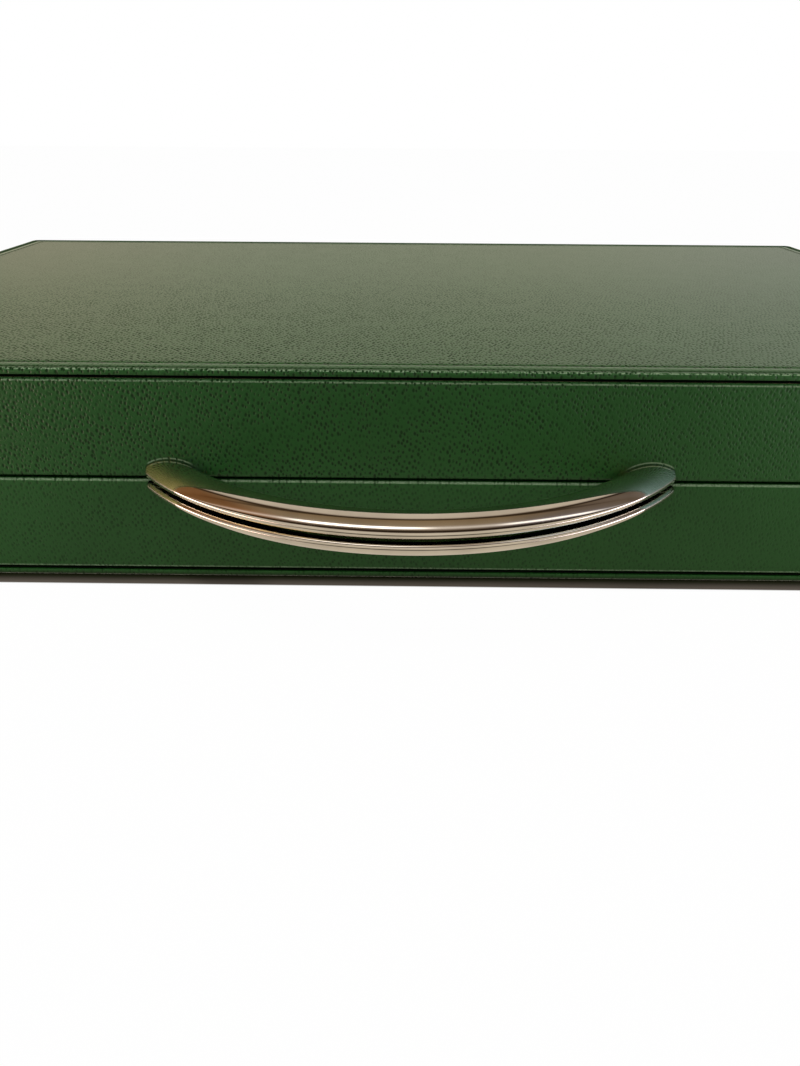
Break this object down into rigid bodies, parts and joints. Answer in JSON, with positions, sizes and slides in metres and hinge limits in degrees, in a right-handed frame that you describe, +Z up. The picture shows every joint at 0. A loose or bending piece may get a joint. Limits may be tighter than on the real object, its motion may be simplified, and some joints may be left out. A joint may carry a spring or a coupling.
{
  "type": "backgammon board",
  "caption": "Folding backgammon board in a leather-covered case, with inlaid points, racks beside the fields, hinged rear walls and a split metal bow handle.",
  "frame": {"origin": "middle of the closed case's underside, halfway along and across the case without its handle", "axes": "+X along the case and its hinge line, -Y towards the handle, +Z up from the surface it lies on"},
  "size_m": [0.61, 0.4464, 0.094],
  "materials": {
    "case_leather": "satin pebble grain",
    "plywood": "plain",
    "wall_wood": "plain",
    "lining_suede": "suede",
    "rack_suede": "suede",
    "field_leather": "satin fine grain",
    "rack_leather": "satin pebble grain",
    "handle_metal": "polished nickel",
    "screw_steel": "plain",
    "magnet_nickel": "nickel plated",
    "hinge_brass": "satin",
    "ivory_leather": "satin fine grain",
    "tan_leather": "satin fine grain"
  },
  "bodies": {
    "base": {"lower_cover_panel": "case_leather", "lower_floor_board": "plywood", "lower_front_board": "wall_wood", "lower_rear_board": "wall_wood", "lower_left_board": "wall_wood", "lower_right_board": "wall_wood", "lower_wall_leather": "case_leather", "lower_inner_lining": "lining_suede", "lower_field_panel": "field_leather", "lower_rack_pad": "rack_suede", "lower_rack_divider": "rack_leather", "lower_handle_half": "handle_metal", "lower_handle_screws": "screw_steel", "lower_closure_magnets": "magnet_nickel", "lower_hinge_screws": "hinge_brass", "lower_light_points": "ivory_leather", "lower_dark_points": "tan_leather", "lower_hinge_leaves": "hinge_brass", "hinge_pins": "hinge_brass"},
    "lid": {"upper_cover_panel": "case_leather", "upper_floor_board": "plywood", "upper_front_board": "wall_wood", "upper_rear_board": "wall_wood", "upper_left_board": "wall_wood", "upper_right_board": "wall_wood", "upper_wall_leather": "case_leather", "upper_inner_lining": "lining_suede", "upper_field_panel": "field_leather", "upper_rack_pad": "rack_suede", "upper_rack_divider": "rack_leather", "upper_handle_half": "handle_metal", "upper_handle_screws": "screw_steel", "upper_closure_magnets": "magnet_nickel", "upper_hinge_screws": "hinge_brass", "upper_light_points": "ivory_leather", "upper_dark_points": "tan_leather", "upper_hinge_leaves": "hinge_brass"}
  },
  "joints": [
    {"name": "lid_hinge", "type": "hinge", "parent": "base", "child": "lid", "pos_m": [0, 0.1928, 0.047], "axis": [-1, 0, 0], "range_deg": [0, 180]}
  ]
}
